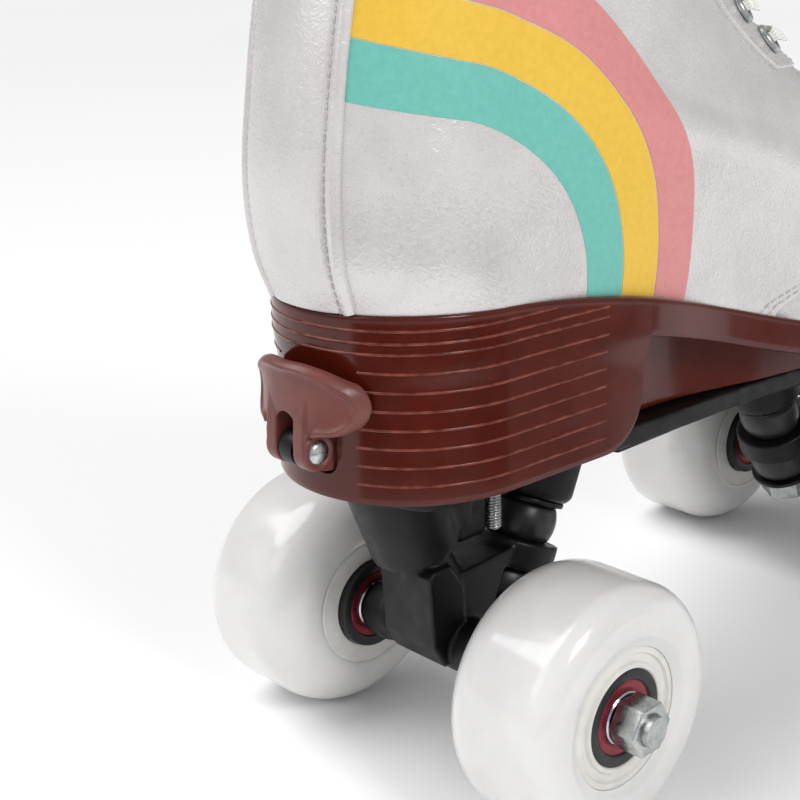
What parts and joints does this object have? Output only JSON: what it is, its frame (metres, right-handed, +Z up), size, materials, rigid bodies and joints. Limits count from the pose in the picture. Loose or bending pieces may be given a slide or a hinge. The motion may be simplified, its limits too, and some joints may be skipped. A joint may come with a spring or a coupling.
{
  "type": "clip_on_roller_skate",
  "caption": "Quad roller skate for the right foot: a laced high-top shoe whose sole clips onto a four-wheel chassis with steering trucks, freed by a lever on the heel",
  "frame": {"origin": "centre of the bounding box's floor rectangle: on the floor, midway between the tip of the toe and the back of the heel lever, on the centre line of the wheels", "axes": "+X to the toe, +Y to the inner side of the right foot, +Z up from the floor the wheels stand on"},
  "size_m": [0.2662, 0.1262, 0.2411],
  "materials": {
    "sole_plastic": "glossy moulded mahogany-brown sole plastic",
    "lever_plastic": "satin mauve-brown moulded plastic",
    "guide_plastic": "black glass-filled nylon",
    "chassis_plastic": "black moulded nylon",
    "upper_leather": "pearl silver-white crinkled faux leather",
    "stripe_teal": "teal stripe film, satin",
    "stripe_yellow": "yellow stripe film, satin",
    "stripe_pink": "pink stripe film, satin",
    "lining_fabric": "light grey brushed lining cloth",
    "lace_cotton": "white flat woven lace",
    "insole_fibre": "tan fibre board",
    "zinc_steel": "bright zinc-plated steel",
    "spring_steel": "drawn spring steel",
    "bearing_steel": "ball bearing with a red shield",
    "cushion_urethane": "dark grey elastic urethane",
    "stop_rubber": "dark grey toe stop rubber",
    "wheel_urethane": "glossy white cast urethane",
    "core_nylon": "white nylon wheel core"
  },
  "bodies": {
    "boot": {"sole_band": "sole_plastic", "heel_block": "sole_plastic", "latch_guide": "guide_plastic", "guide_screws": "zinc_steel", "hook_bar": "zinc_steel", "insole_board": "insole_fibre", "footbed": "lining_fabric", "vamp": "upper_leather", "quarter_outer": "upper_leather", "quarter_inner": "upper_leather", "back_strip": "upper_leather", "stripe_teal": "stripe_teal", "stripe_yellow": "stripe_yellow", "stripe_pink": "stripe_pink", "tongue": "upper_leather", "lining": "lining_fabric", "collar_pad": "upper_leather", "eyestays": "upper_leather", "eyelets": "zinc_steel", "lace": "lace_cotton", "release_spring": "spring_steel"},
    "draw_bar": {"draw_frame": "guide_plastic"},
    "lever": {"clip_lever": "lever_plastic", "lever_pin": "zinc_steel"},
    "chassis": {"chassis_plate": "chassis_plastic", "catch_post": "zinc_steel", "catch_bolts": "zinc_steel", "catch_nuts": "zinc_steel", "kingpins": "zinc_steel", "kingpin_nuts": "zinc_steel", "cushion_washers": "zinc_steel", "rear_cushions": "cushion_urethane", "front_cushions": "cushion_urethane", "pivot_cups": "cushion_urethane", "toe_stop": "stop_rubber", "toe_stop_stem": "zinc_steel", "toe_stop_nut": "zinc_steel"},
    "rear_truck": {"rear_hanger": "chassis_plastic", "rear_axle": "zinc_steel", "rear_axle_nuts": "zinc_steel"},
    "front_truck": {"front_hanger": "chassis_plastic", "front_axle": "zinc_steel", "front_axle_nuts": "zinc_steel"},
    "wheel_ro": {"tyre_ro": "wheel_urethane", "core_ro": "core_nylon", "bearings_ro": "bearing_steel"},
    "wheel_ri": {"tyre_ri": "wheel_urethane", "core_ri": "core_nylon", "bearings_ri": "bearing_steel"},
    "wheel_fo": {"tyre_fo": "wheel_urethane", "core_fo": "core_nylon", "bearings_fo": "bearing_steel"},
    "wheel_fi": {"tyre_fi": "wheel_urethane", "core_fi": "core_nylon", "bearings_fi": "bearing_steel"}
  },
  "joints": [
    {"name": "chassis_release", "type": "hinge", "parent": "boot", "child": "chassis", "pos_m": [0.097, 0, 0.0804], "axis": [0, -1, 0], "range_deg": [0, 1.8]},
    {"name": "clip_draw", "type": "slide", "parent": "boot", "child": "draw_bar", "axis": [1, 0, 0], "range_m": [0, 0.006], "deforming": ["release_spring"]},
    {"name": "clip_lever", "type": "hinge", "parent": "draw_bar", "child": "lever", "pos_m": [-0.129, 0, 0.0875], "axis": [0, -1, 0], "range_deg": [0, 80]},
    {"name": "rear_steer", "type": "hinge", "parent": "chassis", "child": "rear_truck", "pos_m": [-0.065, 0, 0.043], "axis": [0.9104, 0, -0.4138], "range_deg": [-8, 8], "stiffness_Nm_per_rad": 20, "deforming": ["rear_cushions"]},
    {"name": "front_steer", "type": "hinge", "parent": "chassis", "child": "front_truck", "pos_m": [0.047, 0, 0.043], "axis": [-0.9104, 0, -0.4138], "range_deg": [-8, 8], "stiffness_Nm_per_rad": 20, "deforming": ["front_cushions"]},
    {"name": "spin_ro", "type": "hinge", "parent": "rear_truck", "child": "wheel_ro", "pos_m": [-0.089, -0.0405, 0.029], "axis": [0, 1, 0], "continuous": true},
    {"name": "spin_ri", "type": "hinge", "parent": "rear_truck", "child": "wheel_ri", "pos_m": [-0.089, 0.0405, 0.029], "axis": [0, 1, 0], "continuous": true},
    {"name": "spin_fo", "type": "hinge", "parent": "front_truck", "child": "wheel_fo", "pos_m": [0.071, -0.0405, 0.029], "axis": [0, 1, 0], "continuous": true},
    {"name": "spin_fi", "type": "hinge", "parent": "front_truck", "child": "wheel_fi", "pos_m": [0.071, 0.0405, 0.029], "axis": [0, 1, 0], "continuous": true}
  ],
  "couplings": [
    {"joint": "clip_draw", "follows": "chassis_release", "m_per_rad": 0.19098},
    {"joint": "clip_lever", "follows": "chassis_release", "ratio": 44.444}
  ]
}
